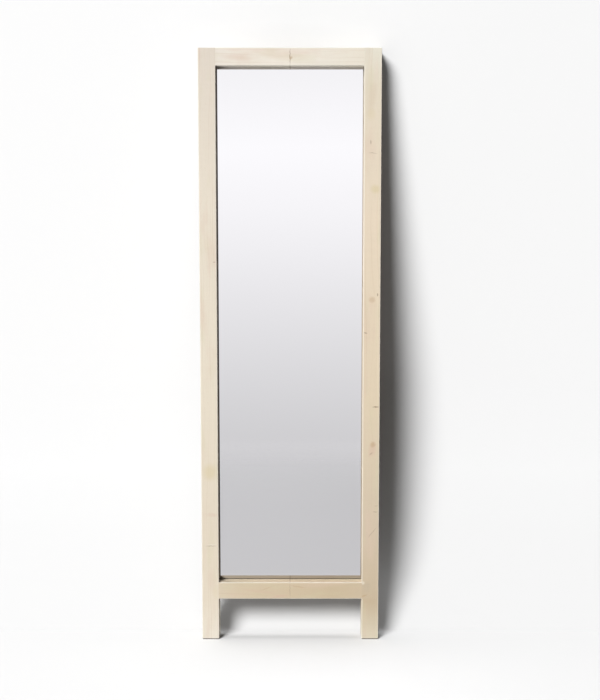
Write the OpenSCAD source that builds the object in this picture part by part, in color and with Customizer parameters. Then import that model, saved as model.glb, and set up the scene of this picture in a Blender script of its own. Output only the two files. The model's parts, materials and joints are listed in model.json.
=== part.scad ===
// Leaning floor mirror: a deep square-section wooden frame whose stiles run on below the bottom rail as legs.
// Millimetres. Z is up, the mirror faces -Y, and the origin is on the floor under the middle of the whole.

/* [Overall] */
// Width across the two stiles
overall_w = 508; // [380:1:760]
// Height from the floor to the top of the frame
overall_h = 1676; // [1100:1:2100]
// Clear height of the legs, from the floor to the underside of the bottom rail
leg_clear = 120; // [60:1:240]

/* [Frame bars] */
// Face width of every bar, as seen from the front
member_w = 48.5; // [38:0.5:80]
// Depth of every bar, front to back
member_t = 48.5; // [36:0.5:80]
// Radius of the eased edges
edge_r = 1.5; // [0.5:0.25:3]

/* [Rebates] */
// How far the glass rebate reaches into each bar
glass_rebate_w = 10; // [8:0.5:13]
// Width of the wood ledge that the back panel is screwed to
panel_ledge_w = 14; // [11:0.5:16]
// How far the back panel sits in from the back of the frame
panel_inset = 4; // [0.5:0.5:6]

/* [Glass and backing] */
// Thickness of the silvered glass
glass_t = 4; // [3:0.5:6]
// Gap left between the glass edge and the wood, all round
glass_gap = 2; // [1:0.5:4]
// Width of the arris ground on the edges of the glass
glass_arris = 0.6; // [0.2:0.1:1.2]
// Thickness of the safety film on the back of the glass
film_t = 0.3; // [0.2:0.1:0.6]
// Thickness of the foam sheet between the film and the panel
foam_t = 1.2; // [0.8:0.1:3]
// Thickness of the glazing tape in front of the glass
tape_t = 3; // [1:0.5:4]
// How far the glazing tape sits back from the opening
tape_back = 1; // [0:0.5:3]
// Length of a setting block or an edge spacer
block_len = 40; // [20:1:80]
// Thickness of the back panel
panel_t = 4; // [3:0.5:6]
// Gap left between the panel edge and the wood
panel_gap = 1; // [0.5:0.25:2]

/* [Dowels] */
// Diameter of the dowels between rail and stile
dowel_d = 10; // [6:0.5:12]
// Length of a dowel
dowel_len = 60; // [40:1:70]
// Distance between the two dowels of a joint
dowel_pitch = 24; // [16:1:26]
// Room left at each end of a dowel in its hole
dowel_end_room = 1; // [0.5:0.25:2]
// Gap round a glued dowel
dowel_fit = 0.05; // [0.02:0.01:0.1]

/* [Panel screws] */
// Shank diameter of the panel screws
panel_screw_d = 3.5; // [3:0.1:4]
// Head diameter of the panel screws
panel_head_d = 7; // [6:0.1:8]
// Length of a panel screw with its head
panel_screw_len = 14; // [12:0.5:18]
// Number of screws up each side of the panel
side_screws = 6; // [3:1:10]
// Number of screws along the top and along the bottom of the panel
end_screws = 3; // [2:1:5]
// Gap round every screw in its hole
screw_fit = 0.05; // [0.02:0.01:0.1]

/* [Hangers] */
// Height of the ring pivots below the top of the frame
hanger_drop = 210; // [120:1:400]
// Distance of each hanger's middle from the outer side of its stile
hanger_in = 15.5; // [15:0.5:20]
// Width of the strap
strap_w = 16; // [12:0.5:16]
// Thickness of the strap metal
strap_t = 1.2; // [1:0.1:1.6]
// Length of the strap below the pivot
strap_len = 46; // [42:1:70]
// Diameter of the ring wire
ring_wire_d = 3; // [2.5:0.1:3.6]
// Width of the ring between the middles of its two arms
ring_w = 24; // [22:0.5:26]
// Length of the ring's straight arms, from the pivot to where the bow starts
ring_arm = 5; // [4:0.5:8]
// Bend radius of the wire where an arm leaves the pivot bar
ring_bend_r = 2.5; // [2:0.1:3]
// Running gap between the pivot bar and the eye of the strap
ring_fit = 0.05; // [0.02:0.01:0.1]
// Height of the pivot above the back of the frame
pivot_up = 3.6; // [3.2:0.1:5]
// Shank diameter of the hanger screws
hanger_screw_d = 3.5; // [3:0.1:4]
// Length of a hanger screw under its head
hanger_screw_len = 16; // [12:0.5:20]

/* [Wall bumpers] */
// Diameter of the rubber bumper where it meets the frame
bumper_d = 19; // [15:0.5:22]
// Diameter of the bumper where it meets the wall
bumper_tip_d = 16; // [13:0.5:18]
// How far a bumper stands out behind the frame
bumper_h = 8; // [7:0.5:14]
// Distance of each bumper's middle from the top and from the outer side of the frame
bumper_in = 13; // [12:0.5:20]
// Shank diameter of the bumper screws
bumper_screw_d = 4; // [3:0.1:5]
// Length of a bumper screw under its head
bumper_screw_len = 20; // [14:0.5:26]

/* [Foot pads] */
// Thickness of the pad under each leg
pad_t = 2; // [1:0.5:5]
// How far the pad sits in from the sides of the leg
pad_in = 1; // [0.5:0.25:4]

/* [Hidden] */
$fn = 48;
eps = 0.01;

// Front to back: the bumpers are the rearmost pieces, so the middle of the whole is behind the frame's middle.
front_y = -(member_t + bumper_h) / 2;
back_y = front_y + member_t;
// The pack is built forwards from the panel, so a deeper frame gives a deeper reveal.
panel_back_y = back_y - panel_inset;
panel_front_y = panel_back_y - panel_t;
film_y = panel_front_y - foam_t - film_t;
glass_y = film_y - glass_t;
ledge_y = glass_y - tape_t;

// The sight opening, where the glass shows.
sight_w = overall_w - 2 * member_w;
sight_z0 = leg_clear + member_w;
sight_z1 = overall_h - member_w;
sight_h = sight_z1 - sight_z0;
panel_rebate_w = glass_rebate_w + panel_ledge_w;

// The sheets, measured from the sight opening outwards.
glass_out = glass_rebate_w - glass_gap;
// The tape reaches from its own setback out to the edge of the glass.
tape_w = glass_out - tape_back;
panel_out = panel_rebate_w - panel_gap;

// Dowels sit in the middle of the solid wood in front of the rebates.
dowel_y = (front_y + ledge_y) / 2;
dowel_hole_len = dowel_len / 2 + dowel_end_room;

// Screw lines on the panel ledge.
ledge_mid = glass_rebate_w + panel_ledge_w / 2;
side_screw_z = [for (i = [0:side_screws - 1])
    sight_z0 + 60 + i * (sight_h - 120) / (side_screws - 1)];
end_screw_x = [for (i = [0:end_screws - 1])
    -sight_w / 2 + 50 + i * (sight_w - 100) / (end_screws - 1)];
panel_head_h = (panel_head_d - panel_screw_d) / 2 + 0.3;

// Hangers.
hanger_x = overall_w / 2 - hanger_in;
pivot_z = overall_h - hanger_drop;
pivot_y = back_y + pivot_up;
eye_in_r = ring_wire_d / 2 + ring_fit;
eye_out_r = eye_in_r + strap_t;
ring_reach = ring_arm + ring_w / 2 + ring_wire_d / 2;
strap_screw_z = [-(ring_reach + 5.5), -(strap_len - 7)];
hanger_head_d = 7;
hanger_head_h = 2.2;

// Bumpers.
bumper_x = overall_w / 2 - bumper_in;
bumper_z = overall_h - bumper_in;
bumper_well_d = 9;
bumper_well_h = bumper_h / 2;
bumper_head_d = 8;
bumper_head_h = 2.6;

// ---------- shared shapes ----------

// A w by h rectangle from the origin. Each of its four corners is eased or left square:
// round = [low left, low right, high right, high left].
module eased_rect(w, h, r, round) {
    difference() {
        square([w, h]);
        if (round[0]) corner_waste(0, 0, r, 1, 1);
        if (round[1]) corner_waste(w, 0, r, -1, 1);
        if (round[2]) corner_waste(w, h, r, -1, -1);
        if (round[3]) corner_waste(0, h, r, 1, -1);
    }
}

// What a round-over takes off a corner at (x, y). sx and sy point into the bar.
module corner_waste(x, y, r, sx, sy) {
    difference() {
        translate([x + (sx < 0 ? -r : -1), y + (sy < 0 ? -r : -1)]) square(r + 1);
        translate([x + sx * r, y + sy * r]) circle(r);
    }
}

// Eases an upright edge from z0 to z1.
module ease_z(x, y, z0, z1, sx, sy) {
    translate([0, 0, z0]) linear_extrude(z1 - z0) corner_waste(x, y, edge_r, sx, sy);
}

// A countersunk screw that points towards -Y, its head's flat at y = 0, with a cross recess.
module countersunk_screw(len, d, head_d, head_h) {
    rotate([90, 0, 0]) difference() {
        union() {
            cylinder(h = head_h, d1 = head_d, d2 = d);
            cylinder(h = len - d * 0.8, d = d);
            translate([0, 0, len - d * 0.8]) cylinder(h = d * 0.8, d1 = d, d2 = 0.4);
        }
        cross_recess(head_d * 0.55);
    }
}

// A pan-head screw that points towards -Y. y = 0 is the underside of its head.
module pan_screw(len, d, head_d, head_h) {
    rotate([90, 0, 0]) difference() {
        union() {
            translate([0, 0, -head_h * 0.55]) cylinder(h = head_h * 0.55, d = head_d);
            translate([0, 0, -head_h]) cylinder(h = head_h * 0.45 + eps, d1 = head_d * 0.7, d2 = head_d);
            cylinder(h = len - d * 0.8, d = d);
            translate([0, 0, len - d * 0.8]) cylinder(h = d * 0.8, d1 = d, d2 = 0.4);
        }
        translate([0, 0, -head_h]) cross_recess(head_d * 0.5);
    }
}

module cross_recess(size) {
    for (a = [0, 90])
        rotate([0, 0, a]) translate([-size / 2, -size / 10, -1]) cube([size, size / 5, 2.2]);
}

// A straight hole of diameter d that runs from y towards -Y.
module hole_back(x, y, z, d, len) {
    translate([x, y + eps, z]) rotate([90, 0, 0]) cylinder(h = len + eps, d = d);
}

// Both dowel holes of the joint between a rail centred at height z and the right stile.
module dowel_holes(z) {
    for (s = [-1, 1])
        translate([sight_w / 2 - dowel_hole_len, dowel_y, z + s * dowel_pitch / 2])
            rotate([0, 90, 0]) cylinder(h = 2 * dowel_hole_len, d = dowel_d + 2 * dowel_fit);
}

// ---------- the four bars ----------

// The right stile. Rebates and pilot holes are cut from the back, and they stop short of the ends.
module stile() {
    x0 = sight_w / 2;
    x1 = overall_w / 2;
    z0 = pad_t;
    difference() {
        intersection() {
            translate([x0, front_y, z0]) linear_extrude(overall_h - z0)
                eased_rect(member_w, member_t, edge_r, [false, true, true, false]);
            translate([x0, back_y, 0]) rotate([90, 0, 0]) linear_extrude(member_t)
                translate([0, z0]) eased_rect(member_w, overall_h - z0, edge_r, [true, true, true, false]);
            translate([x0, 0, 0]) rotate([90, 0, 90]) linear_extrude(member_w)
                translate([front_y, z0]) eased_rect(member_t, overall_h - z0, edge_r, [true, true, true, true]);
        }
        // eased inner edges of the opening and of the leg
        ease_z(x0, front_y, sight_z0, sight_z1, 1, 1);
        for (y = [[front_y, 1], [back_y, -1]])
            ease_z(x0, y[0], 0, leg_clear, 1, y[1]);
        // rebates for the glass and for the back panel
        translate([x0 - 1, ledge_y, sight_z0 - glass_rebate_w])
            cube([glass_rebate_w + 1, member_t, sight_h + 2 * glass_rebate_w]);
        translate([x0 - 1, panel_front_y, sight_z0 - panel_rebate_w])
            cube([panel_rebate_w + 1, member_t, sight_h + 2 * panel_rebate_w]);
        for (z = [leg_clear + member_w / 2, overall_h - member_w / 2]) dowel_holes(z);
        for (z = side_screw_z)
            hole_back(x0 + ledge_mid, panel_front_y, z, panel_screw_d + 2 * screw_fit, panel_screw_len - panel_t + 1);
        for (z = strap_screw_z)
            hole_back(hanger_x, back_y, pivot_z + z, hanger_screw_d + 2 * screw_fit, hanger_screw_len - strap_t + 1);
        hole_back(bumper_x, back_y, bumper_z, bumper_screw_d + 2 * screw_fit,
            bumper_screw_len - (bumper_h - bumper_well_h) + 1);
    }
}

// A rail centred on z. up = 1 when the opening is above it, -1 when it is below.
module rail(z, up) {
    sight_z = z + up * member_w / 2;
    outer_z = z - up * member_w / 2;
    difference() {
        translate([-sight_w / 2, 0, z - member_w / 2]) rotate([90, 0, 90]) linear_extrude(sight_w)
            translate([front_y, 0])
                eased_rect(member_t, member_w, edge_r, up > 0 ? [true, true, false, true] : [true, false, true, true]);
        translate([-sight_w / 2 - 1, ledge_y, up > 0 ? sight_z - glass_rebate_w : sight_z - 1])
            cube([sight_w + 2, member_t, glass_rebate_w + 1]);
        translate([-sight_w / 2 - 1, panel_front_y, up > 0 ? sight_z - panel_rebate_w : sight_z - 1])
            cube([sight_w + 2, member_t, panel_rebate_w + 1]);
        for (m = [0, 1]) mirror([m, 0, 0]) dowel_holes(z);
        for (x = end_screw_x)
            hole_back(x, panel_front_y, sight_z - up * ledge_mid,
                panel_screw_d + 2 * screw_fit, panel_screw_len - panel_t + 1);
    }
}

module right_stile() { color("burlywood") stile(); }
module left_stile() { color("wheat") mirror([1, 0, 0]) stile(); }
module top_rail() { color("wheat") rail(overall_h - member_w / 2, -1); }
module bottom_rail() { color("burlywood") rail(leg_clear + member_w / 2, 1); }

// ---------- dowels ----------

module rail_dowels(z) {
    for (m = [0, 1], s = [-1, 1]) mirror([m, 0, 0])
        translate([sight_w / 2 - dowel_len / 2, dowel_y, z + s * dowel_pitch / 2]) rotate([0, 90, 0]) {
            translate([0, 0, 1]) cylinder(h = dowel_len - 2, d = dowel_d);
            cylinder(h = 1, d1 = dowel_d - 2, d2 = dowel_d);
            translate([0, 0, dowel_len - 1]) cylinder(h = 1, d1 = dowel_d, d2 = dowel_d - 2);
        }
}

module top_rail_dowels() { color("tan") rail_dowels(overall_h - member_w / 2); }
module bottom_rail_dowels() { color("tan") rail_dowels(leg_clear + member_w / 2); }

// ---------- glass and what holds it ----------

// An upright sheet that reaches `out` beyond the sight opening on every side.
module sheet(out, y, t) {
    translate([-sight_w / 2 - out, y, sight_z0 - out]) cube([sight_w + 2 * out, t, sight_h + 2 * out]);
}

// The same with an arris ground on its edges.
module arrissed_sheet(out, y, t, a) {
    w = sight_w + 2 * out;
    h = sight_h + 2 * out;
    intersection() {
        translate([-w / 2, y, sight_z0 - out]) linear_extrude(h)
            polygon([[a, 0], [w - a, 0], [w, a], [w, t - a], [w - a, t], [a, t], [0, t - a], [0, a]]);
        translate([-w / 2, y, sight_z0 - out]) rotate([90, 0, 90]) linear_extrude(w)
            polygon([[a, 0], [t - a, 0], [t, a], [t, h - a], [t - a, h], [a, h], [0, h - a], [0, a]]);
    }
}

module mirror_glass() { color("lightsteelblue") arrissed_sheet(glass_out, glass_y, glass_t, glass_arris); }
module safety_film() { color("slategray") sheet(glass_out - glass_arris, film_y, film_t); }
module foam_sheet() { color("whitesmoke") sheet(glass_out - glass_arris, film_y + film_t, foam_t); }

// Tape runs up the sides and across the ends, in front of the glass and a little back from the opening.
module side_tape() {
    translate([sight_w / 2 + tape_back, ledge_y, sight_z0 - tape_back - tape_w])
        cube([tape_w, tape_t, sight_h + 2 * (tape_back + tape_w)]);
}
module end_tape(z) {
    translate([-sight_w / 2 - tape_back, ledge_y, z]) cube([sight_w + 2 * tape_back, tape_t, tape_w]);
}
module right_glazing_tape() { color("dimgray") side_tape(); }
module left_glazing_tape() { color("dimgray") mirror([1, 0, 0]) side_tape(); }
module top_glazing_tape() { color("dimgray") end_tape(sight_z1 + tape_back); }
module bottom_glazing_tape() { color("dimgray") end_tape(sight_z0 - tape_back - tape_w); }

// Two blocks carry the glass at its quarter points.
module setting_blocks() {
    color("black") for (s = [-1, 1])
        translate([s * (sight_w / 4) - block_len / 2, glass_y, sight_z0 - glass_rebate_w])
            cube([block_len, glass_t, glass_gap]);
}

// Spacers centre the glass between the stiles, two a side, and stop it rising.
module edge_spacers() {
    color("black") {
        for (m = [0, 1], k = [0.2, 0.8]) mirror([m, 0, 0])
            translate([sight_w / 2 + glass_out, glass_y, sight_z0 + k * sight_h - block_len / 2])
                cube([glass_gap, glass_t, block_len]);
        for (s = [-1, 1])
            translate([s * (sight_w / 4) - block_len / 2, glass_y, sight_z1 + glass_out])
                cube([block_len, glass_t, glass_gap]);
    }
}

// ---------- back panel ----------

// Calls its children at every screw of the panel.
module at_panel_screws() {
    for (m = [0, 1], z = side_screw_z) mirror([m, 0, 0])
        translate([sight_w / 2 + ledge_mid, panel_back_y, z]) children();
    for (x = end_screw_x, z = [sight_z0 - ledge_mid, sight_z1 + ledge_mid])
        translate([x, panel_back_y, z]) children();
}

module back_panel() {
    color("peru") difference() {
        sheet(panel_out, panel_front_y, panel_t);
        at_panel_screws() rotate([90, 0, 0]) {
            translate([0, 0, -1]) cylinder(h = panel_t + 2, d = panel_screw_d + 2 * screw_fit);
            // the countersink runs a little proud of the face, so its mouth is clean
            translate([0, 0, -screw_fit])
                cylinder(h = panel_head_h + 2 * screw_fit, d1 = panel_head_d + 2 * screw_fit + 2 * screw_fit,
                    d2 = panel_screw_d + 2 * screw_fit);
        }
    }
}

module back_panel_screws() {
    color("goldenrod") at_panel_screws()
        countersunk_screw(panel_screw_len, panel_screw_d, panel_head_d, panel_head_h);
}

// ---------- hangers ----------

// The strap is one piece of steel rolled into an eye at its top, screwed flat to the stile below it.
module hanger_strap() {
    translate([hanger_x, back_y, pivot_z]) difference() {
        union() {
            // plate with a round lower end
            translate([-strap_w / 2, 0, -strap_len + strap_w / 2])
                cube([strap_w, strap_t, strap_len - strap_w / 2 - 1]);
            translate([0, strap_t, -strap_len + strap_w / 2]) rotate([90, 0, 0])
                cylinder(h = strap_t, d = strap_w);
            // rolled eye, with the metal coming up to it from the plate
            translate([-strap_w / 2, pivot_up, 0]) rotate([0, 90, 0]) cylinder(h = strap_w, r = eye_out_r);
            translate([-strap_w / 2, 0, -eye_out_r - 1]) cube([strap_w, pivot_up - eye_in_r, eye_out_r + 1]);
        }
        translate([-strap_w / 2 - 1, pivot_up, 0]) rotate([0, 90, 0]) cylinder(h = strap_w + 2, r = eye_in_r);
        for (z = strap_screw_z)
            translate([0, strap_t + 1, z]) rotate([90, 0, 0])
                cylinder(h = strap_t + 2, d = hanger_screw_d + 2 * screw_fit);
    }
}

// The ring hangs straight down from the eye: a straight pivot bar, two arms and a round bow.
module hanger_ring() {
    translate([hanger_x, pivot_y, pivot_z]) {
        r = ring_wire_d / 2;
        a = ring_w / 2;
        translate([-a + ring_bend_r, 0, 0]) rotate([0, 90, 0]) cylinder(h = ring_w - 2 * ring_bend_r, r = r);
        for (m = [0, 1]) mirror([m, 0, 0]) {
            translate([a - ring_bend_r, 0, -ring_bend_r]) rotate([90, 0, 0])
                rotate_extrude(angle = 90) translate([ring_bend_r, 0]) circle(r);
            translate([a, 0, -ring_arm]) cylinder(h = ring_arm - ring_bend_r, r = r);
        }
        translate([0, 0, -ring_arm]) rotate([-90, 0, 0])
            rotate_extrude(angle = 180) translate([a, 0]) circle(r);
    }
}

module right_hanger_strap() { color("silver") hanger_strap(); }
module left_hanger_strap() { color("silver") mirror([1, 0, 0]) hanger_strap(); }
module right_hanger_ring() { color("gainsboro") hanger_ring(); }
module left_hanger_ring() { color("gainsboro") mirror([1, 0, 0]) hanger_ring(); }

module hanger_screws() {
    color("goldenrod") for (m = [0, 1], z = strap_screw_z) mirror([m, 0, 0])
        translate([hanger_x, back_y + strap_t, pivot_z + z])
            pan_screw(hanger_screw_len, hanger_screw_d, hanger_head_d, hanger_head_h);
}

// ---------- wall bumpers ----------

module wall_bumper() {
    translate([bumper_x, back_y, bumper_z]) rotate([-90, 0, 0]) difference() {
        union() {
            cylinder(h = 2, d = bumper_d);
            translate([0, 0, 2]) cylinder(h = bumper_h - 2, d1 = bumper_d, d2 = bumper_tip_d);
        }
        translate([0, 0, -1]) cylinder(h = bumper_h, d = bumper_screw_d + 2 * screw_fit);
        translate([0, 0, bumper_h - bumper_well_h]) cylinder(h = bumper_h, d = bumper_well_d);
    }
}

module right_wall_bumper() { color("dimgray") wall_bumper(); }
module left_wall_bumper() { color("dimgray") mirror([1, 0, 0]) wall_bumper(); }

module bumper_screws() {
    color("silver") for (s = [-1, 1])
        translate([s * bumper_x, back_y + bumper_h - bumper_well_h, bumper_z])
            pan_screw(bumper_screw_len, bumper_screw_d, bumper_head_d, bumper_head_h);
}

// ---------- foot pads ----------

module foot_pad() {
    translate([sight_w / 2 + pad_in, front_y + pad_in, 0])
        cube([member_w - 2 * pad_in, member_t - 2 * pad_in, pad_t]);
}

module right_foot_pad() { color("gray") foot_pad(); }
module left_foot_pad() { color("gray") mirror([1, 0, 0]) foot_pad(); }

// ---------- nodes ----------

left_stile();
right_stile();
top_rail();
bottom_rail();
top_rail_dowels();
bottom_rail_dowels();
mirror_glass();
safety_film();
foam_sheet();
left_glazing_tape();
right_glazing_tape();
top_glazing_tape();
bottom_glazing_tape();
setting_blocks();
edge_spacers();
back_panel();
back_panel_screws();
left_hanger_strap();
right_hanger_strap();
left_hanger_ring();
right_hanger_ring();
hanger_screws();
left_wall_bumper();
right_wall_bumper();
bumper_screws();
left_foot_pad();
right_foot_pad();
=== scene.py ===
"""Leaning floor mirror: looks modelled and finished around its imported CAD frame."""

import json
import math

import bmesh
import bpy
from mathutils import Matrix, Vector

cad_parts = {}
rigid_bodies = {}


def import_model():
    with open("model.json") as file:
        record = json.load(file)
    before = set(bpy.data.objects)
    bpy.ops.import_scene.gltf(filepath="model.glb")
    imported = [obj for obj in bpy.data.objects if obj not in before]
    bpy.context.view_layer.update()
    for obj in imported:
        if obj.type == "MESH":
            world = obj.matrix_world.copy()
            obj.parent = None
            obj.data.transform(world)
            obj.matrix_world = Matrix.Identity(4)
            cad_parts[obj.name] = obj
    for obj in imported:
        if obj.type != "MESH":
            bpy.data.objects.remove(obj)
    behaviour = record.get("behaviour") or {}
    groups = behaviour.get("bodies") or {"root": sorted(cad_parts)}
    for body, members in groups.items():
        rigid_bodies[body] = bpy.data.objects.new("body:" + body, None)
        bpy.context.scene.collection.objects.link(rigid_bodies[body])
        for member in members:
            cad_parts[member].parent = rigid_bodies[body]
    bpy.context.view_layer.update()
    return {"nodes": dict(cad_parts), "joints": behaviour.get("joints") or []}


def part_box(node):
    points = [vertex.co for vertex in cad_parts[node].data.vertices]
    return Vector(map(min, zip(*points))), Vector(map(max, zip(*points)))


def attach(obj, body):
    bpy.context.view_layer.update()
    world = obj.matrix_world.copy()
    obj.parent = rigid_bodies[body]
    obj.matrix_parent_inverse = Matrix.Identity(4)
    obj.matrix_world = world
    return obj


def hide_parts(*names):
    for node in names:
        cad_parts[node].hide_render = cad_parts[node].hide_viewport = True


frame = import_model()

bl_info = {
    "name": "Leaning Floor Mirror",
    "version": (1, 0, 0),
    "blender": (4, 5, 0),
    "location": "3D View > Sidebar > Floor Mirror",
    "description": "Models a maple leaning floor mirror around its CAD frame and sets its studio",
    "category": "Object",
}

# ---------- places taken from the frame ----------

BAR_LOW, BAR_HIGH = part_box("right_stile")
SIGHT_X = BAR_LOW.x
SIGHT_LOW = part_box("bottom_rail")[1].z
SIGHT_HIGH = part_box("top_rail")[0].z
LEG_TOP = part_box("bottom_rail")[0].z
LEDGE_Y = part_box("right_glazing_tape")[0].y
PANEL_LOW, PANEL_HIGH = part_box("back_panel")
GLASS_LOW, GLASS_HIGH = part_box("mirror_glass")
SPACER_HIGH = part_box("edge_spacers")[1]
STRAP_LOW, STRAP_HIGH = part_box("right_hanger_strap")
BUMPER_LOW, BUMPER_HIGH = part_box("right_wall_bumper")
PAD_LOW, PAD_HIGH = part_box("right_foot_pad")
PIVOT = Vector(frame["joints"][1]["pos_m"])
MM = 0.001


# ---------- settings ----------


class MirrorBarSettings(bpy.types.PropertyGroup):
    edge_radius: bpy.props.FloatProperty(
        name="Eased edge", description="Radius sanded on the long edges of every bar",
        default=1.5 * MM, min=0.5 * MM, max=3 * MM, unit="LENGTH", precision=4)
    joint_ease: bpy.props.FloatProperty(
        name="Joint ease", description="Fine bevel on the rail ends, which draws the joint line",
        default=0.15 * MM, min=0.05 * MM, max=0.5 * MM, unit="LENGTH", precision=5)
    panel_gap: bpy.props.FloatProperty(
        name="Panel gap", description="Gap between the back panel and its rebate",
        default=1 * MM, min=0.5 * MM, max=2 * MM, unit="LENGTH", precision=4)
    screw_hole: bpy.props.FloatProperty(
        name="Screw pilot", description="Diameter of the panel and hanger screw pilots",
        default=3.6 * MM, min=3 * MM, max=5 * MM, unit="LENGTH", precision=4)
    dowel_hole: bpy.props.FloatProperty(
        name="Dowel hole", description="Diameter of the dowel holes",
        default=10.1 * MM, min=6 * MM, max=12 * MM, unit="LENGTH", precision=4)


class MirrorFinishSettings(bpy.types.PropertyGroup):
    latewood: bpy.props.FloatVectorProperty(
        name="Growth line", description="Colour that the growth lines darken towards",
        default=(0.52, 0.37, 0.22), subtype="COLOR", min=0, max=1)
    pink: bpy.props.FloatVectorProperty(
        name="Pink heartwood", description="Pinkish tint of the maple's warmer patches",
        default=(0.74, 0.58, 0.47), subtype="COLOR", min=0, max=1)
    green: bpy.props.FloatVectorProperty(
        name="Mineral tint", description="Yellow-green tint of the maple's mineral patches",
        default=(0.68, 0.64, 0.44), subtype="COLOR", min=0, max=1)
    knot: bpy.props.FloatVectorProperty(
        name="Knot", description="Colour of the pin knots",
        default=(0.16, 0.075, 0.035), subtype="COLOR", min=0, max=1)
    silver: bpy.props.FloatVectorProperty(
        name="Silvering", description="Reflected tint of the glass",
        default=(0.884, 0.871, 0.900), subtype="COLOR", min=0, max=1)
    hardboard: bpy.props.FloatVectorProperty(
        name="Hardboard", description="Colour of the back panel",
        default=(0.30, 0.185, 0.10), subtype="COLOR", min=0, max=1)
    rubber: bpy.props.FloatVectorProperty(
        name="Rubber", description="Colour of the bumpers and foot pads",
        default=(0.075, 0.072, 0.07), subtype="COLOR", min=0, max=1)


class MirrorStageSettings(bpy.types.PropertyGroup):
    wall_foot: bpy.props.FloatProperty(
        name="Wall foot", description="How far behind the mirror the wall would meet the floor",
        default=0.304, min=0.1, max=1, unit="LENGTH")
    key_direction: bpy.props.FloatVectorProperty(
        name="Key direction", description="The way the key light travels",
        default=(0.57, 1.0, -0.78), subtype="DIRECTION")
    key_softness: bpy.props.FloatProperty(
        name="Key softness", description="Apparent size of the key light",
        default=math.radians(26), min=0, max=math.radians(60), unit="ROTATION")
    ambient: bpy.props.FloatProperty(
        name="Ambient", description="Light that comes from all round", default=0.115, min=0, max=2)


# ---------- shader building ----------


class Wire:
    """A shader socket that takes part in Python arithmetic."""

    def __init__(self, finish, socket):
        self.finish, self.socket = finish, socket

    def maths(self, operation, *terms, clamp=False):
        return self.finish.node("ShaderNodeMath", {"operation": operation, "use_clamp": clamp}, dict(enumerate(terms)))

    def __add__(self, other):
        return self.maths("ADD", self, other)

    def __sub__(self, other):
        return self.maths("SUBTRACT", self, other)

    def __rsub__(self, other):
        return self.maths("SUBTRACT", other, self)

    def __mul__(self, other):
        return self.maths("MULTIPLY", self, other)

    def __truediv__(self, other):
        return self.maths("DIVIDE", self, other)

    def __rtruediv__(self, other):
        return self.maths("DIVIDE", other, self)

    def __pow__(self, other):
        return self.maths("POWER", self, other)

    def __neg__(self):
        return self.maths("MULTIPLY", self, -1.0)

    def __abs__(self):
        return self.maths("ABSOLUTE", self)

    def __gt__(self, other):
        return self.maths("GREATER_THAN", self, other)

    def __lt__(self, other):
        return self.maths("LESS_THAN", self, other)

    __radd__ = __add__
    __rmul__ = __mul__

    def clipped(self):
        return self.maths("ADD", self, 0.0, clamp=True)

    def most(self, other):
        return self.maths("MAXIMUM", self, other)

    def ramped(self, low, high):
        """0 at low, 1 at high, and smooth between."""
        return self.finish.node(
            "ShaderNodeMapRange", {"interpolation_type": "SMOOTHSTEP"},
            {"Value": self, "From Min": low, "From Max": high})


class Finish:
    """One material being built, with its principled shader."""

    def __init__(self, name, **fixed):
        self.material = bpy.data.materials.new(name)
        self.material.use_nodes = True
        self.tree = self.material.node_tree
        self.shader = self.tree.nodes["Principled BSDF"]
        self.output = self.tree.nodes["Material Output"]
        for socket, value in fixed.items():
            self.shader.inputs[socket.replace("_", " ")].default_value = value

    def node(self, kind, settings=None, inputs=None, output=0):
        """Adds any node: its settings first, then the values or links of its sockets."""
        made = self.tree.nodes.new(kind)
        for key, value in (settings or {}).items():
            if key == "stops":
                for i, (place, colour) in enumerate(value):
                    stop = made.color_ramp.elements[i] if i < 2 else made.color_ramp.elements.new(place)
                    stop.position, stop.color = place, (*colour, 1)
            else:
                setattr(made, key, value)
        for key, value in (inputs or {}).items():
            if isinstance(value, Wire):
                self.tree.links.new(value.socket, made.inputs[key])
            else:
                made.inputs[key].default_value = value
        return Wire(self, made.outputs[output])

    def set(self, **sockets):
        for name, wire in sockets.items():
            self.tree.links.new(wire.socket, self.shader.inputs[name.replace("_", " ")])

    def place(self):
        return self.node("ShaderNodeTexCoord", output="Object")

    def moved(self, vector, scale=(1, 1, 1), location=(0, 0, 0), rotation=(0, 0, 0), kind="POINT"):
        return self.node("ShaderNodeMapping", {"vector_type": kind},
                         {"Vector": vector, "Location": location, "Rotation": rotation, "Scale": scale})

    def noise(self, vector, scale=1.0, detail=2.0, roughness=0.5, distortion=0.0):
        return self.node("ShaderNodeTexNoise", None,
                         {"Vector": vector, "Scale": scale, "Detail": detail, "Roughness": roughness,
                          "Distortion": distortion})

    def cells(self, vector, scale=1.0, feature="F1"):
        return self.node("ShaderNodeTexVoronoi", {"feature": feature}, {"Vector": vector, "Scale": scale})

    def split(self, vector):
        parts = self.node("ShaderNodeSeparateXYZ", None, {"Vector": vector})
        return [Wire(self, parts.socket.node.outputs[i]) for i in range(3)]

    def blend(self, factor, first, second, way="MIX"):
        """Mixes two colours, each a link or three numbers."""
        first, second = [c if isinstance(c, Wire) else (*c, 1) for c in (first, second)]
        return self.node("ShaderNodeMix", {"data_type": "RGBA", "blend_type": way}, {0: factor, 6: first, 7: second}, 2)

    def spot(self, vector, centre, radii, turn=0.0):
        """1 at the centre of an ellipsoid, falling to 0 at its skin. turn is about the front-to-back axis."""
        inside = self.moved(vector, scale=radii, location=centre, rotation=(0, turn, 0), kind="TEXTURE")
        return self.node("ShaderNodeTexGradient", {"gradient_type": "SPHERICAL"}, {"Vector": inside}, "Fac")

    def bump(self, height, strength, distance):
        return self.node("ShaderNodeBump", None, {"Height": height, "Strength": strength, "Distance": distance})

    def paint(self, *objects):
        """Puts the finished material in every slot of each object."""
        for obj in objects:
            if not obj.data.materials:
                obj.data.materials.append(self.material)
            for slot in obj.material_slots:
                slot.material = self.material


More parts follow.
